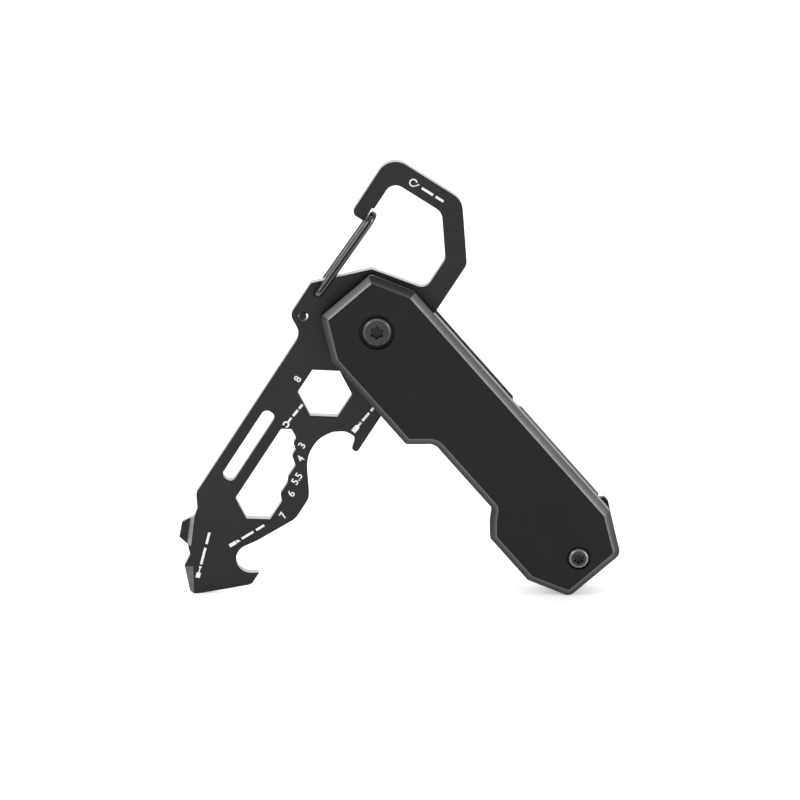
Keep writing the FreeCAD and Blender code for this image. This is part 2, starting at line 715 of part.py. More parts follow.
# hexagonal wrench hole with two corners on the long axis
sk = new_sketch(tp, "tp_hexagon", "XY_Plane", 0.0)
hx, hy, af = D("hex_along"), D("hex_across"), D("hex_flats")
hexagon = []
for k in range(6):
    a = math.radians(60 * k)
    hexagon.append((hx + af * (math.cos(a) / math.sqrt(3)), hy + af * (math.sin(a) / math.sqrt(3))))
draw_polygon(sk, hexagon)
pocket(tp, "tp_hexagon_cut", sk, D("plate_thick"))

# long slot
sk = new_sketch(tp, "tp_slot", "XY_Plane", 0.0)
s0, s1 = VAL["slot_from"], VAL["slot_to"]
w0, w1 = VAL["slot_across"] - VAL["slot_wide"] / 2, VAL["slot_across"] + VAL["slot_wide"] / 2
draw_rounded(sk, [(s0, w0, 1.0), (s1, w0, 1.0), (s1, w1, 1.0), (s0, w1, 1.0)])
pocket(tp, "tp_slot_cut", sk, D("plate_thick"))

# stepped wrench hole: 3, 4, 5.5, 6 and 7 mm across
sk = new_sketch(tp, "tp_stepped", "XY_Plane", 0.0)
left = -4.145
draw_rounded(sk, [
    (23.55, left, 0.30), (38.00, left, 0.10), (40.03, -0.65, 0.10), (37.97, 2.84, 0.10),
    (34.30, 2.84, 0.25), (33.20, 1.88, 0.35), (31.00, 1.88, 0.30), (30.00, 1.38, 0.50),
    (27.65, 1.38, 0.30), (26.50, -0.05, 0.40), (25.20, -0.14, 0.30), (24.55, -1.05, 0.35),
    (23.52, -1.12, 0.30), (22.62, -2.63, 0.45)])
pocket(tp, "tp_stepped_cut", sk, D("plate_thick"))

# ground bevels of the side screwdriver tooth and of the tip, cut from the front
def ground_bevel(b, name, end_1, end_2, inward, flat_to, wide, deep, top):
    """Cut from the line end_1 - end_2: level as far as flat_to, then rising to the face."""
    nl = math.hypot(inward[0], inward[1])
    ix, iy = inward[0] / nl, inward[1] / nl
    along = (-iy, ix)
    if (end_2[0] - end_1[0]) * along[0] + (end_2[1] - end_1[1]) * along[1] < 0:
        end_1, end_2 = end_2, end_1
    ln = abs((end_2[0] - end_1[0]) * along[0] + (end_2[1] - end_1[1]) * along[1])
    s = b.newObject("Sketcher::SketchObject", name)
    s.AttachmentSupport = (origin_plane(b, "XY_Plane"), [""])
    s.MapMode = "FlatFace"
    m = FreeCAD.Matrix(ix, 0, iy, end_1[0], iy, 0, -ix, end_1[1], 0, 1, 0, 0, 0, 0, 0, 1)
    s.AttachmentOffset = Placement(m)
    over = 1.2
    if flat_to > 0:
        draw_rounded(s, [(-over, top + 0.6), (-over, top - deep), (flat_to, top - deep),
                         (wide, top), (wide, top + 0.6)])
    else:
        draw_rounded(s, [(-over, top + 0.6), (-over, top - deep * (1 + over / wide)),
                         (wide, top), (wide, top + 0.6)])
    before = b.Shape.Volume
    p = b.newObject("PartDesign::Pocket", name + "_cut")
    p.Profile = s
    p.Length = ln
    s.Visibility = False
    doc.recompute()
    print(name, "removed", round(before - b.Shape.Volume, 3))
    return p


ground_bevel(tp, "tp_tooth_bevel", (45.00, -10.10), (50.10, -7.65), (-0.4325, 0.9016), 1.17, 1.85,
             0.85, VAL["plate_thick"])
ground_bevel(tp, "tp_tip_bevel", (52.90, -4.98), (59.38, -0.65), (-0.556, 0.831), 0.0, 1.50,
             0.80, VAL["plate_thick"])

put(tp, PLATE, plate_rear)
doc.recompute()

# ----------------------------------------------------------------------------
# Wire gate: bent end in the hinge hole, leg in front of the plate, loop end
# behind the nose, leg behind the plate
# ----------------------------------------------------------------------------
front_leg = D("plate_thick") + D("wire_gap") + D("wire") * 0.5
back_leg = -(D("wire_gap_back") + D("wire") * 0.5)
turn_r = (front_leg.v - back_leg.v) / 2
mid = (front_leg.v + back_leg.v) / 2
bend = VAL["gate_bend"]
sh, sa, stn = VAL["gate_hinge"], VAL["gate_anchor"], VAL["gate_turn"]


def wire_body(name, path_edges, start, normal_role, across):
    b = new_body(name)
    path = b.newObject("Sketcher::SketchObject", name + "_path")
    path.AttachmentSupport = (origin_plane(b, "XZ_Plane"), [""])
    path.MapMode = "FlatFace"
    path.AttachmentOffset = Placement(Vector(0, 0, -across.v), Rotation())
    if "Params." in across.e:
        path.setExpression(".AttachmentOffset.Base.z", "0 - " + across.e)
    for g in path_edges:
        path.addGeometry(g, False)
    prof = b.newObject("Sketcher::SketchObject", name + "_section")
    prof.AttachmentSupport = (origin_plane(b, normal_role), [""])
    prof.MapMode = "FlatFace"
    if normal_role == "XY_Plane":
        prof.AttachmentOffset = Placement(Vector(start[0], start[1], start[2]), Rotation())
    else:
        prof.AttachmentOffset = Placement(Vector(start[1], start[2], start[0]), Rotation())
    k = prof.addGeometry(Part.Circle(Vector(0, 0, 0), Vector(0, 0, 1), VAL["wire"] / 2), False)
    j = prof.addConstraint(Sketcher.Constraint("Diameter", k, VAL["wire"]))
    prof.setExpression("Constraints[%d]" % j, "Params.wire")
    prof.addConstraint(Sketcher.Constraint("Coincident", k, 3, -1, 1))
    doc.recompute()
    pipe = b.newObject("PartDesign::AdditivePipe", name + "_pipe")
    pipe.Profile = prof
    pipe.Spine = path
    doc.recompute()
    path.Visibility = False
    prof.Visibility = False
    return b


def arc3(cx, cy, r, a0, a1):
    return Part.ArcOfCircle(Part.Circle(Vector(cx, cy, 0), Vector(0, 0, 1), r),
                            math.radians(a0), math.radians(a1))


F, K = front_leg.v, back_leg.v
reach = stn - sh
path = [
    Part.LineSegment(Vector(0, 0.35, 0), Vector(0, F - bend, 0)),
    arc3(-bend, F - bend, bend, 0, 90),
    Part.LineSegment(Vector(-bend, F, 0), Vector(reach, F, 0)),
    arc3(reach, mid, turn_r, 90, 270),
    Part.LineSegment(Vector(reach, K, 0), Vector(0, K, 0)),
]
gw = wire_body("gate_wire", path, (0.0, 0.0, 0.35), "XY_Plane", Dim(0, "0"))
put(gw, PLATE + D("gate_lean"), plate_rear)
a = math.radians(VAL["plate_angle"])
gw.setExpression(".Placement.Base.x",
                 "Params.pivot_across + Params.gate_hinge * cos(Params.plate_angle * 1deg)"
                 " - Params.gate_across * sin(Params.plate_angle * 1deg)")
gw.setExpression(".Placement.Base.z",
                 "Params.pivot_height + Params.gate_hinge * sin(Params.plate_angle * 1deg)"
                 " + Params.gate_across * cos(Params.plate_angle * 1deg)")
gw.Placement = Placement(
    Vector(VAL["pivot_across"] + sh * math.cos(a) - VAL["gate_across"] * math.sin(a), plate_rear.v,
           VAL["pivot_height"] + sh * math.sin(a) + VAL["gate_across"] * math.cos(a)),
    gw.Placement.Rotation)
print("gate hinge", gw.Placement.Base)

path = [
    Part.LineSegment(Vector(sh, K, 0), Vector(sa - bend, K, 0)),
    arc3(sa - bend, K + bend, bend, 270, 360),
    Part.LineSegment(Vector(sa, K + bend, 0), Vector(sa, 1.55, 0)),
]
gt = wire_body("gate_spring_tail", path, (sh, VAL["gate_across"], K), "YZ_Plane", D("gate_across"))
put(gt, PLATE, plate_rear)

# ----------------------------------------------------------------------------
# Knife blade, drawn folded: back towards the long straight handle edge
# ----------------------------------------------------------------------------
kb = new_body("knife_blade")
sk = new_sketch(kb, "kb_outline", "XY_Plane")
rl, rsml = VAL["tang_large"], VAL["tang_small"]
lo, hi = math.radians(-60), math.radians(99)
edge, back, ridge = VAL["blade_edge"], VAL["blade_back"], VAL["ridge_back"]
x_hi, y_hi = rl * math.cos(hi), rl * math.sin(hi)
x_lo, y_lo = rl * math.cos(lo), rl * math.sin(lo)
geo = [
    # small round of the tang, on the stop pin side
    Part.ArcOfCircle(Part.Circle(Vector(0, 0, 0), Vector(0, 0, 1), rsml), hi, lo + 2 * math.pi),
    Part.LineSegment(Vector(rsml * math.cos(lo), rsml * math.sin(lo), 0), Vector(x_lo, y_lo, 0)),
]
pts = [(x_lo, y_lo), (7.6, edge + 0.10), (9.6, edge + 0.10), (10.4, edge), (44.2, edge), (48.0, edge + 2.2),
       (49.5, 1.2), (49.45, 4.6), (48.1, back - 0.2), (VAL["ridge_to"], ridge),
       (VAL["ridge_from"], ridge), (VAL["ridge_from"] - 1.0, back), (4.0, back), (x_hi, y_hi)]
for i in range(len(pts) - 1):
    geo.append(Part.LineSegment(Vector(pts[i][0], pts[i][1], 0), Vector(pts[i + 1][0], pts[i + 1][1], 0)))
geo.append(Part.LineSegment(Vector(x_hi, y_hi, 0), Vector(rsml * math.cos(hi), rsml * math.sin(hi), 0)))
for g in geo:
    sk.addGeometry(g, False)
pad(kb, "kb_pad", sk, D("blade_thick"))
bevel(kb, "kb_ridge_bevel", edges_on(kb, lambda e: flat_at(e, VAL["blade_thick"])
                                     and abs(e.BoundBox.YMin - ridge) < 1e-4
                                     and abs(e.BoundBox.YMax - ridge) < 1e-4), D("ridge_bevel"))
sk = new_sketch(kb, "kb_bore", "XY_Plane", 0.0)
draw_circle(sk, 0, 0, D("barrel") + D("run_fit") * 2)
pocket(kb, "kb_bore_cut", sk, D("blade_thick"))
# hollow of the ground faces: a wedge off each side, starting past the ricasso
BT = VAL["blade_thick"]
for tag, flip in (("front", 1), ("rear", -1)):
    s = kb.newObject("Sketcher::SketchObject", "kb_grind_" + tag)
    s.AttachmentSupport = (origin_plane(kb, "YZ_Plane"), [""])
    s.MapMode = "FlatFace"
    s.AttachmentOffset = Placement(Vector(0, 0, 10.4), Rotation())
    top = BT if flip > 0 else 0.0
    low = BT / 2 + flip * 0.12
    out = top + flip * 0.6
    draw_rounded(s, [(3.2, top), (3.2, out), (edge - 1.0, out), (edge - 1.0, low - flip * 0.10), (edge, low)])
    pocket(kb, "kb_grind_%s_cut" % tag, s, 45.0)
put(kb, HANDLE, blade_rear)

# ----------------------------------------------------------------------------
# Check and write every piece
# ----------------------------------------------------------------------------
doc.recompute()
bad = []
for o in doc.Objects:
    state = [str(x) for x in o.State]
    if "Invalid" in state or "Error" in state:
        bad.append("%s %s" % (o.Name, state))
NODES = ["front_scale", "back_scale", "centre_liner", "pivot_barrel", "pivot_screw_front",
         "pivot_screw_back", "rear_standoff", "rear_screw_front", "rear_screw_back",
         "plate_washer_front", "plate_washer_back", "blade_washer_front", "blade_washer_back",
         "blade_stop_pin", "plate_detent_ball", "blade_detent_ball", "tool_plate",
         "gate_wire", "gate_spring_tail", "knife_blade"]
os.makedirs("parts", exist_ok=True)
for name in NODES:
    o = doc.getObject(name)
    shape = o.Shape
    if shape.isNull() or not shape.isValid() or len(shape.Solids) < 1:
        bad.append("%s bad shape" % name)
        continue
    b = shape.BoundBox
    print("%-20s solids %d vol %9.3f  x %7.3f %7.3f  y %7.3f %7.3f  z %7.3f %7.3f" % (
        name, len(shape.Solids), shape.Volume, b.XMin, b.XMax, b.YMin, b.YMax, b.ZMin, b.ZMax))
if bad:
    raise RuntimeError("; ".join(bad))
for name in NODES:
    doc.getObject(name).Shape.exportStep("parts/%s.step" % name)
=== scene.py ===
# Looks for the folding pocket multi tool: finishes, printed marks, light, camera.
import bpy
import bmesh
import json
import math
from mathutils import Matrix, Vector


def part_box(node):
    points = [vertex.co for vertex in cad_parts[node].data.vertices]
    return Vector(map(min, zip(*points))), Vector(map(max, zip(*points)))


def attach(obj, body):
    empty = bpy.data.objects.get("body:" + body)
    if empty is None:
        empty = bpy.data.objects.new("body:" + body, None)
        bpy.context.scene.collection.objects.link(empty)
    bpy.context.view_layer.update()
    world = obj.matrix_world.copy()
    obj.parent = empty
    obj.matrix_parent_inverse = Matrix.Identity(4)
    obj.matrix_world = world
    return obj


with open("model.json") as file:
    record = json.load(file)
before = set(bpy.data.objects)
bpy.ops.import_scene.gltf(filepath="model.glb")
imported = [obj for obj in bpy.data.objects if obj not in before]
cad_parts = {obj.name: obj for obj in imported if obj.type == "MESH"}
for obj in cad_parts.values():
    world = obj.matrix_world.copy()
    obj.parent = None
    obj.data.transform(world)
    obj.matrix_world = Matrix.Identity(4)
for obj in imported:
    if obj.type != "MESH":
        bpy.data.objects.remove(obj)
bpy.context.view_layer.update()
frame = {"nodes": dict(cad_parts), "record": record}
nodes = frame["nodes"]
scene = bpy.context.scene
scene.view_settings.view_transform = "Standard"
scene.view_settings.look = "None"
scene.view_settings.exposure = 0.0

MM = 0.001


# ----------------------------------------------------------------------------
# Node helpers
# ----------------------------------------------------------------------------
class Net:
    """A small builder for one material's node tree."""

    def __init__(self, name):
        self.mat = bpy.data.materials.new(name)
        self.mat.use_nodes = True
        self.t = self.mat.node_tree
        self.t.nodes.clear()
        self.out = self.t.nodes.new("ShaderNodeOutputMaterial")
        self.shader = self.t.nodes.new("ShaderNodeBsdfPrincipled")
        self.t.links.new(self.shader.outputs[0], self.out.inputs[0])
        self.coord = self.t.nodes.new("ShaderNodeTexCoord").outputs["Object"]
        self.geo = self.t.nodes.new("ShaderNodeNewGeometry")

    def link(self, a, b):
        self.t.links.new(a, b)

    def put(self, socket, value):
        if hasattr(value, "is_output") or hasattr(value, "links"):
            self.t.links.new(value, socket)
        else:
            socket.default_value = value

    def math(self, op, a, b=None, c=None, clamp=False):
        n = self.t.nodes.new("ShaderNodeMath")
        n.operation = op
        n.use_clamp = clamp
        self.put(n.inputs[0], a)
        if b is not None:
            self.put(n.inputs[1], b)
        if c is not None:
            self.put(n.inputs[2], c)
        return n.outputs[0]

    def noise(self, scale, detail=3.0, rough=0.5, vec=None, dist=0.0):
        n = self.t.nodes.new("ShaderNodeTexNoise")
        n.inputs["Scale"].default_value = scale
        n.inputs["Detail"].default_value = detail
        n.inputs["Roughness"].default_value = rough
        n.inputs["Distortion"].default_value = dist
        self.link(vec if vec is not None else self.coord, n.inputs["Vector"])
        return n.outputs["Fac"]

    def voronoi(self, scale, vec=None):
        n = self.t.nodes.new("ShaderNodeTexVoronoi")
        n.inputs["Scale"].default_value = scale
        self.link(vec if vec is not None else self.coord, n.inputs["Vector"])
        return n.outputs["Distance"]

    def mapped(self, angle=0.0, scale=(1, 1, 1)):
        """Object coordinates turned about Y, then stretched."""
        a = self.t.nodes.new("ShaderNodeMapping")
        a.inputs["Rotation"].default_value = (0, angle, 0)
        self.link(self.coord, a.inputs["Vector"])
        b = self.t.nodes.new("ShaderNodeMapping")
        b.inputs["Scale"].default_value = scale
        self.link(a.outputs[0], b.inputs["Vector"])
        return b.outputs[0]

    def ramp(self, fac, a, b, lo, hi):
        """Number from lo to hi as fac goes from a to b."""
        n = self.t.nodes.new("ShaderNodeMapRange")
        n.clamp = True
        self.put(n.inputs["Value"], fac)
        n.inputs["From Min"].default_value = a
        n.inputs["From Max"].default_value = b
        n.inputs["To Min"].default_value = lo
        n.inputs["To Max"].default_value = hi
        return n.outputs["Result"]

    def mix_rgb(self, fac, a, b):
        n = self.t.nodes.new("ShaderNodeMix")
        n.data_type = "RGBA"
        self.put(n.inputs["Factor"], fac)
        ins = [s for s in n.inputs if s.type == "RGBA"]
        for s, v in zip(ins, (a, b)):
            if isinstance(v, tuple) and len(v) == 3:
                v = (*v, 1.0)
            self.put(s, v)
        return [s for s in n.outputs if s.type == "RGBA"][0]

    def mix(self, fac, a, b):
        n = self.t.nodes.new("ShaderNodeMix")
        n.data_type = "FLOAT"
        self.put(n.inputs["Factor"], fac)
        ins = [s for s in n.inputs if s.type == "VALUE" and s.name in ("A", "B")]
        self.put(ins[0], a)
        self.put(ins[1], b)
        return [s for s in n.outputs if s.type == "VALUE"][0]

    def bump(self, height, strength, distance):
        n = self.t.nodes.new("ShaderNodeBump")
        n.inputs["Strength"].default_value = strength
        n.inputs["Distance"].default_value = distance
        self.put(n.inputs["Height"], height)
        self.link(n.outputs[0], self.shader.inputs["Normal"])
        return n

    def set(self, **kw):
        for k, v in kw.items():
            key = k.replace("_", " ")
            self.put(self.shader.inputs[key], v)

    def depth(self, near, far, a, b):
        """Number from a to b as the distance from the middle plane goes from near to far, in millimetres."""
        s = self.t.nodes.new("ShaderNodeSeparateXYZ")
        self.link(self.coord, s.inputs[0])
        return self.ramp(self.math("ABSOLUTE", s.outputs["Y"]), near * MM, far * MM, a, b)

    def scaled(self, colour, factor):
        n = self.t.nodes.new("ShaderNodeVectorMath")
        n.operation = "SCALE"
        self.link(colour, n.inputs[0])
        self.link(factor, n.inputs["Scale"])
        return n.outputs[0]

    def facing_y(self):
        """How far the flat face looks along the thickness, 0 to 1."""
        s = self.t.nodes.new("ShaderNodeSeparateXYZ")
        self.link(self.geo.outputs["True Normal"], s.inputs[0])
        return self.math("ABSOLUTE", s.outputs["Y"])


def grey(v, warm=0.0):
    return (v * (1 + warm), v, v * (1 - warm), 1.0)


# ----------------------------------------------------------------------------
# Finishes
# ----------------------------------------------------------------------------
def coated_scale():
    """Matte black coated metal: bevels carry a painted highlight, lighter towards their inner edge and darker
    towards the walls; smooth walls.
    """
    n = Net("scale_black_coat")
    f = n.facing_y()
    wall = n.ramp(f, 0.35, 0.20, 0.0, 1.0)
    bevel = n.math("MULTIPLY", n.ramp(f, 0.97, 0.93, 0.0, 1.0), n.ramp(f, 0.35, 0.45, 0.0, 1.0))
    grain = n.noise(5200.0, 3.0, 0.55)
    cloud = n.noise(95.0, 4.0, 0.6)
    speck = n.voronoi(2600.0)
    face = n.mix_rgb(n.ramp(cloud, 0.35, 0.7, 0.0, 1.0), (0.0044, 0.0053, 0.0047), (0.0067, 0.0078, 0.0071))
    edge = n.mix_rgb(n.ramp(cloud, 0.3, 0.7, 0.0, 1.0), (0.056, 0.056, 0.058), (0.070, 0.070, 0.073))
    # painted highlight and shade: the bevel colour is scaled brighter near the face and darker towards the wall, by
    # distance from the middle plane
    edge = n.scaled(edge, n.math("MULTIPLY", n.depth(4.75, 4.40, 1.80, 1.0),
                                 n.depth(4.75, 3.85, 1.15, 0.52)))
    n.set(Base_Color=n.mix_rgb(bevel, face, edge))
    n.set(Metallic=n.mix(bevel, 0.0, 0.85))
    rough = n.mix(bevel, n.ramp(grain, 0.3, 0.7, 0.50, 0.66), n.ramp(grain, 0.3, 0.7, 0.28, 0.40))
    n.set(Roughness=n.mix(wall, rough, n.ramp(grain, 0.3, 0.7, 0.24, 0.34)))
    n.set(Specular_IOR_Level=0.22)
    h = n.math("ADD", n.math("MULTIPLY", grain, 0.7), n.math("MULTIPLY", speck, 0.3))
    n.bump(h, 0.28, 0.00003)
    return n.mat


def oxide_plate():
    """Black oxide steel sheet: satin faces with a fine grain, ground facets, lighter cut edges."""
    n = Net("plate_black_oxide")
    f = n.facing_y()
    side = n.ramp(f, 0.72, 0.60, 0.0, 1.0)
    facet = n.ramp(f, 0.985, 0.955, 0.0, 1.0)
    along = n.mapped(math.radians(-57.0), (1.0, 1.0, 0.06))
    streak = n.noise(2600.0, 3.0, 0.6, along)
    cloud = n.noise(120.0, 4.0, 0.62)
    grain = n.noise(7000.0, 2.0, 0.5)
    face = n.mix_rgb(n.ramp(cloud, 0.3, 0.7, 0.0, 1.0), (0.0086, 0.0099, 0.0091), (0.0126, 0.0139, 0.0130))
    face = n.mix_rgb(n.ramp(streak, 0.45, 0.75, 0.0, 0.35), face, (0.024, 0.025, 0.024))
    cut = n.mix_rgb(n.ramp(streak, 0.3, 0.7, 0.0, 1.0), (0.30, 0.30, 0.30), (0.44, 0.44, 0.44))
    ground = n.mix_rgb(n.ramp(streak, 0.3, 0.7, 0.0, 1.0), (0.10, 0.10, 0.10), (0.15, 0.15, 0.15))
    n.set(Base_Color=n.mix_rgb(side, n.mix_rgb(facet, face, ground), cut))
    n.set(Metallic=n.mix(facet, 0.0, 0.9))
    n.set(Roughness=n.mix(side, n.ramp(streak, 0.3, 0.7, 0.40, 0.55), n.ramp(streak, 0.3, 0.7, 0.34, 0.5)))
    n.set(Specular_IOR_Level=0.25)
    h = n.math("ADD", n.math("MULTIPLY", streak, 0.55), n.math("MULTIPLY", grain, 0.45))
    n.bump(h, 0.22, 0.00002)
    return n.mat


def black_screw():
    """Satin black screw with lighter rims."""
    n = Net("screw_satin_black")
    f = n.facing_y()
    rim = n.math("MULTIPLY", n.ramp(f, 0.97, 0.90, 0.0, 1.0), n.ramp(f, 0.15, 0.3, 0.0, 1.0))
    grain = n.noise(6000.0, 3.0, 0.5)
    cloud = n.noise(600.0, 3.0, 0.5)
    face = n.mix_rgb(n.ramp(cloud, 0.3, 0.7, 0.0, 1.0), (0.022, 0.024, 0.023), (0.030, 0.032, 0.031))
    face = n.scaled(face, n.depth(4.72, 4.60, 1.0, 0.22))  # painted shade: darker the deeper inside the drive socket
    n.set(Base_Color=n.mix_rgb(rim, face, (0.24, 0.24, 0.24)))
    n.set(Metallic=n.mix(rim, 0.25, 0.9))
    n.set(Roughness=n.ramp(grain, 0.3, 0.7, 0.30, 0.44))
    n.set(Specular_IOR_Level=0.4)
    n.bump(grain, 0.2, 0.00002)
    return n.mat


def ground_blade():
    """Satin ground steel: fine lines run across the blade."""
    n = Net("blade_ground_steel")
    across = n.mapped(math.radians(-49.2), (1.0, 0.05, 0.05))
    lines = n.noise(5200.0, 3.0, 0.6, across)
    cloud = n.noise(140.0, 4.0, 0.6)
    f = n.facing_y()
    # painted shade: the sloped ridge chamfers are painted near-black, a dark line standing in for a shadow gap
    chamfer_painted_shade = n.math("MULTIPLY", n.ramp(f, 0.90, 0.80, 0.0, 1.0), n.ramp(f, 0.55, 0.65, 0.0, 1.0))
    steel = n.mix_rgb(n.ramp(lines, 0.3, 0.7, 0.0, 1.0), (0.38, 0.38, 0.375), (0.50, 0.50, 0.495))
    n.set(Base_Color=n.mix_rgb(chamfer_painted_shade, steel, (0.05, 0.05, 0.05)))
    n.set(Metallic=1.0)
    n.set(Roughness=n.ramp(n.math("ADD", n.math("MULTIPLY", lines, 0.7), n.math("MULTIPLY", cloud, 0.3)),
                           0.3, 0.7, 0.24, 0.42))
    n.bump(lines, 0.25, 0.00001)
    return n.mat


def spring_wire():
    """Drawn gunmetal wire with faint drawing lines, small scuffs and a painted dark band down the middle of its
    front and back.
    """
    n = Net("wire_gunmetal")
    along = n.mapped(math.radians(-57.0), (1.0, 1.0, 0.03))
    draw = n.noise(5000.0, 2.0, 0.5, along)
    scuff = n.noise(900.0, 5.0, 0.7)
    base = n.mix_rgb(n.ramp(draw, 0.3, 0.7, 0.0, 1.0), (0.082, 0.083, 0.085), (0.115, 0.116, 0.118))
    base = n.mix_rgb(n.ramp(scuff, 0.62, 0.75, 0.0, 0.5), base, (0.20, 0.20, 0.20))
    # painted shade: the wire is darkened where its surface faces straight along the thickness, a dark band down the
    # middle of each leg
    base = n.mix_rgb(n.ramp(n.facing_y(), 0.95, 0.99, 0.0, 1.0), base, (0.022, 0.022, 0.022))
    n.set(Base_Color=base)
    n.set(Metallic=1.0)
    n.set(Roughness=n.ramp(scuff, 0.3, 0.7, 0.12, 0.20))
    n.bump(draw, 0.15, 0.00001)
    return n.mat


def turned_steel():
    n = Net("hardware_turned_steel")
    rings = n.noise(4000.0, 3.0, 0.6, n.mapped(0.0, (0.06, 1.0, 0.06)))
    cloud = n.noise(500.0, 3.0, 0.5)
    n.set(Base_Color=n.mix_rgb(n.ramp(rings, 0.3, 0.7, 0.0, 1.0), (0.40, 0.40, 0.41), (0.55, 0.55, 0.55)))
    n.set(Metallic=1.0)
    n.set(Roughness=n.ramp(cloud, 0.3, 0.7, 0.25, 0.4))
    n.bump(rings, 0.2, 0.00001)
    return n.mat


def bronze_washer():
    n = Net("washer_bronze")
    cloud = n.noise(1500.0, 4.0, 0.6)
    n.set(Base_Color=n.mix_rgb(n.ramp(cloud, 0.3, 0.7, 0.0, 1.0), (0.42, 0.27, 0.13), (0.55, 0.36, 0.18)))
    n.set(Metallic=1.0)
    n.set(Roughness=n.ramp(cloud, 0.3, 0.7, 0.3, 0.5))
    n.bump(cloud, 0.15, 0.00001)
    return n.mat


def print_white():
    """Pad-printed ink: slightly uneven cover."""
    n = Net("print_white_ink")
    cover = n.noise(6000.0, 4.0, 0.65)
    n.set(Base_Color=n.mix_rgb(n.ramp(cover, 0.3, 0.62, 0.0, 1.0), (0.62, 0.63, 0.62), (0.82, 0.83, 0.82)))
    n.set(Roughness=n.ramp(cover, 0.3, 0.7, 0.45, 0.62))
    n.bump(cover, 0.15, 0.00001)
    return n.mat


MAT = {
    "scale": coated_scale(),
    "plate": oxide_plate(),
    "screw": black_screw(),
    "blade": ground_blade(),
    "wire": spring_wire(),
    "hardware": turned_steel(),
    "washer": bronze_washer(),
}
liner = MAT["scale"].copy()
liner.name = "liner_black_coat"
MAT["liner"] = liner
INK = print_white()

slot_of = {p["node"]: p["material_slot"] for p in frame["record"]["subparts"]}
for name, obj in nodes.items():
    m = MAT[slot_of[name]]
    if not obj.material_slots:
        obj.data.materials.append(m)
    for s in obj.material_slots:
        s.material = m

# softened edges, so every corner catches a thin line of light
EDGE = {"front_scale": 0.07, "back_scale": 0.07, "tool_plate": 0.06, "centre_liner": 0.05,
        "knife_blade": 0.04, "pivot_screw_front": 0.05, "rear_screw_front": 0.04,
        "pivot_screw_back": 0.04, "rear_screw_back": 0.04}
for name, wide in EDGE.items():
    obj = nodes[name]
    w = obj.modifiers.new("weld", "WELD")
    w.merge_threshold = 0.000002
    b = obj.modifiers.new("edge", "BEVEL")
    b.width = wide * MM
    b.segments = 2
    b.limit_method = "ANGLE"
    b.angle_limit = math.radians(32)
    b.use_clamp_overlap = True

# ----------------------------------------------------------------------------
# Printed marks on the tool plate
# ----------------------------------------------------------------------------
lo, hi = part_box("pivot_barrel")
PX, PZ = (lo[0] + hi[0]) / 2, (lo[2] + hi[2]) / 2
FACE_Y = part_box("tool_plate")[0][1]
PLATE = math.radians(-122.8)
INK_UP = 0.018 * MM


def on_plate(s, w):
    """Plate position (along, across) in millimetres to the model frame."""
    c, d = math.cos(PLATE), math.sin(PLATE)
    return (PX + (s * c - w * d) * MM, PZ + (s * d + w * c) * MM)


def ink_mesh(name, faces):
    """Flat printed shape: faces are lists of (x, z) outlines in metres."""
    me = bpy.data.meshes.new(name)
    bm = bmesh.new()
    for pts in faces:
        vs = [bm.verts.new((x, FACE_Y - INK_UP, z)) for x, z in pts]
        bm.faces.new(vs)
    bmesh.ops.recalc_face_normals(bm, faces=bm.faces)
    for f in bm.faces:
        if f.normal.y > 0:
            f.normal_flip()
    bm.to_mesh(me)
    bm.free()
    o = bpy.data.objects.new(name, me)
    scene.collection.objects.link(o)
    me.materials.append(INK)
    t = o.modifiers.new("film", "SOLIDIFY")
    t.thickness = 0.014 * MM
    t.offset = -1.0
    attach(o, "plate")
    return o


def numeral(name, text, s, w, turn, high=1.75):
    """A printed size number, its middle at plate position (s, w)."""
    cu = bpy.data.curves.new(name + "_c", "FONT")
    cu.body = text
    cu.align_x = "CENTER"
    cu.align_y = "CENTER"
    cu.size = high * MM
    cu.offset = 0.035 * MM
    cu.resolution_u = 6
    tmp = bpy.data.objects.new(name + "_t", cu)
    scene.collection.objects.link(tmp)
    bpy.context.view_layer.update()
    me = bpy.data.meshes.new_from_object(tmp.evaluated_get(bpy.context.evaluated_depsgraph_get()))
    bpy.data.objects.remove(tmp)
    x, z = on_plate(s, w)
    m = (Matrix.Translation((x, FACE_Y - INK_UP, z)) @ Matrix.Rotation(-math.radians(turn), 4, "Y")
         @ Matrix.Rotation(math.radians(90), 4, "X"))
    me.transform(m)
    me.name = name
    o = bpy.data.objects.new(name, me)
    scene.collection.objects.link(o)
    me.materials.clear()
    me.materials.append(INK)
    t = o.modifiers.new("film", "SOLIDIFY")
    t.thickness = 0.014 * MM
    t.offset = -1.0
    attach(o, "plate")
    return o


def local(x, z, turn, pts):
    """Millimetre outline turned and moved to (x, z)."""
    c, d = math.cos(math.radians(turn)), math.sin(math.radians(turn))
    return [(x + (a * c - b * d) * MM, z + (a * d + b * c) * MM) for a, b in pts]


def ring(cx, cy, r0, r1, n=24, a0=0.0, a1=360.0):
    """Ring or arc as quads, in millimetres."""
    out = []
    for k in range(n):
        p = math.radians(a0 + (a1 - a0) * k / n)
        q = math.radians(a0 + (a1 - a0) * (k + 1) / n)
        out.append([(cx + r0 * math.cos(p), cy + r0 * math.sin(p)), (cx + r1 * math.cos(p), cy + r1 * math.sin(p)),
                    (cx + r1 * math.cos(q), cy + r1 * math.sin(q)), (cx + r0 * math.cos(q), cy + r0 * math.sin(q))])
    return out


def bar(x0, y0, x1, y1, t):
    dx, dy = x1 - x0, y1 - y0
    ln = math.hypot(dx, dy)
    nx, ny = -dy / ln * t / 2, dx / ln * t / 2
    return [[(x0 + nx, y0 + ny), (x0 - nx, y0 - ny), (x1 - nx, y1 - ny), (x1 + nx, y1 + ny)]]


def outline(pts, t):
    out = []
    for k in range(len(pts)):
        a, b = pts[k], pts[(k + 1) % len(pts)]
        out += bar(a[0], a[1], b[0], b[1], t)
    return out


def sign(name, s, w, turn, shapes):
    x, z = on_plate(s, w)
    return ink_mesh(name, [local(x, z, turn, p) for p in shapes])


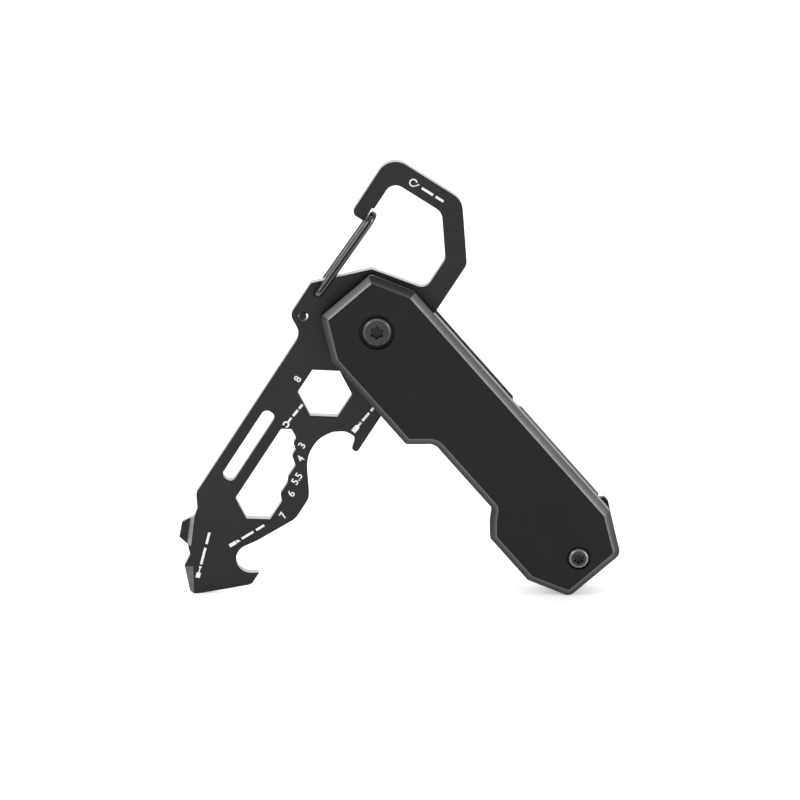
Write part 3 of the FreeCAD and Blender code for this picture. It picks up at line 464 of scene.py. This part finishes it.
def label(name, start, end, shapes):
    """Plain pictogram at the start of the line, then two plain bars as far as its end."""
    x0, z0 = on_plate(*start)
    x1, z1 = on_plate(*end)
    long = math.hypot(x1 - x0, z1 - z0) / MM
    turn = math.degrees(math.atan2(z1 - z0, x1 - x0))
    first, rest = 2.45, long - 2.45
    dash = (bar(first, 0, first + rest * 0.52, 0, 0.42)
            + bar(first + rest * 0.64, 0, long, 0, 0.42))
    return ink_mesh(name, [local(x0, z0, turn, p) for p in list(shapes) + dash])


BOTTLE = [[(0.0, -0.42), (1.15, -0.42), (1.15, 0.42), (0.0, 0.42)],
          [(1.15, -0.42), (1.45, -0.17), (1.45, 0.17), (1.15, 0.42)],
          [(1.45, -0.17), (1.85, -0.17), (1.85, 0.17), (1.45, 0.17)],
          [(1.93, -0.25), (2.10, -0.25), (2.10, 0.25), (1.93, 0.25)]]
WRENCH = ring(0.55, 0.0, 0.30, 0.58, 18, 215.0, 505.0) + bar(1.05, 0.0, 2.05, 0.0, 0.34)
LOOP = ring(0.75, 0.0, 0.48, 0.70, 20, 35.0, 325.0) + bar(1.22, -0.42, 1.75, 0.30, 0.16)
CUTTER = [[(0.0, -0.30), (1.30, -0.30), (1.30, 0.30), (0.0, 0.30)],
          [(1.40, -0.24), (2.10, -0.24), (1.75, 0.24), (1.40, 0.24)]]
DRIVER = [[(0.0, -0.36), (0.95, -0.36), (0.95, 0.36), (0.0, 0.36)],
          [(0.95, -0.10), (1.80, -0.10), (1.80, 0.10), (0.95, 0.10)],
          [(1.80, -0.22), (2.10, -0.22), (2.10, 0.22), (1.80, 0.22)]]

numeral("mark_size_8", "8", 14.69, -6.44, 58)
numeral("mark_size_3", "3", 24.09, 0.44, 58)
numeral("mark_size_4", "4", 26.19, 1.50, 58)
numeral("mark_size_5_5", "5.5", 29.49, 2.88, 58)
numeral("mark_size_6", "6", 32.24, 3.48, 58)
numeral("mark_size_7", "7", 36.23, 4.35, 58)
label("mark_loop", (-24.43, -9.17), (-24.47, -2.40), LOOP)
label("mark_wrench", (23.00, -3.92), (18.00, -3.39), WRENCH)
label("mark_opener", (17.40, 6.42), (11.48, 7.13), BOTTLE)
label("mark_cutter", (45.70, -0.45), (39.44, 2.55), CUTTER)
label("mark_driver", (53.40, -2.05), (45.53, -4.61), DRIVER)

# ----------------------------------------------------------------------------
# Floor, light, camera
# ----------------------------------------------------------------------------
me = bpy.data.meshes.new("floor")
me.from_pydata([(-6, -6, 0), (6, -6, 0), (6, 6, 0), (-6, 6, 0)], [], [(0, 1, 2, 3)])
floor = bpy.data.objects.new("floor", me)
scene.collection.objects.link(floor)
fn = Net("floor_pale")
fcloud = fn.noise(3.0, 2.0, 0.5)
fn.set(Base_Color=fn.mix_rgb(fcloud, (0.91, 0.91, 0.91), (0.93, 0.93, 0.93)))
fn.set(Roughness=0.50)
fn.set(Specular_IOR_Level=0.20)
fn.set(Emission_Color=(1.0, 1.0, 1.0, 1.0), Emission_Strength=0.36)  # lit from below, like a light table
me.materials.append(fn.mat)

world = bpy.data.worlds.new("studio")
scene.world = world
world.use_nodes = True
bg = world.node_tree.nodes["Background"]
bg.inputs["Color"].default_value = (1.0, 1.0, 1.0, 1.0)
bg.inputs["Strength"].default_value = 0.50


def area(name, loc, aim, size, power):
    li = bpy.data.lights.new(name, "AREA")
    li.shape = "RECTANGLE"
    li.size, li.size_y = size
    li.energy = power
    o = bpy.data.objects.new(name, li)
    scene.collection.objects.link(o)
    o.location = loc
    d = Vector(aim) - Vector(loc)
    o.rotation_mode = "QUATERNION"
    o.rotation_quaternion = d.to_track_quat("-Z", "Y")
    return o


AIM = (0.0, 0.0, 0.035)
area("box_left", (-0.72, -0.45, 0.60), AIM, (0.50, 0.50), 3.9)
area("box_right", (0.92, -0.42, 0.33), AIM, (0.50, 0.62), 4.8)
area("panel_back", (0.0, 2.60, 0.90), AIM, (4.0, 1.70), 24.0)
sun = bpy.data.lights.new("ceiling", "SUN")
sun.energy = 1.0
sun.angle = math.radians(70.0)
ceiling = bpy.data.objects.new("ceiling", sun)
ceiling.location = (0.0, 1.0, 2.0)
ceiling.rotation_euler = (math.radians(-27.0), 0.0, 0.0)
scene.collection.objects.link(ceiling)

cam_data = bpy.data.cameras.new("camera")
cam = bpy.data.objects.new("camera", cam_data)
scene.collection.objects.link(cam)
AZ, EL, DIST = math.radians(-0.9), math.radians(14.6), 1.0
target = Vector((PX + 3.926 * MM, FACE_Y, PZ - 12.57 * MM))
back = Vector((math.sin(AZ) * math.cos(EL), -math.cos(AZ) * math.cos(EL), math.sin(EL)))
cam.location = target + back * DIST
cam.rotation_mode = "QUATERNION"
cam.rotation_quaternion = (-back).to_track_quat("-Z", "Y")
cam_data.sensor_width = 36.0
cam_data.lens = 5900.0 / 800.0 * 36.0
cam_data.clip_start = 0.05
cam_data.clip_end = 50.0
cam_data.dof.use_dof = False
scene.camera = cam
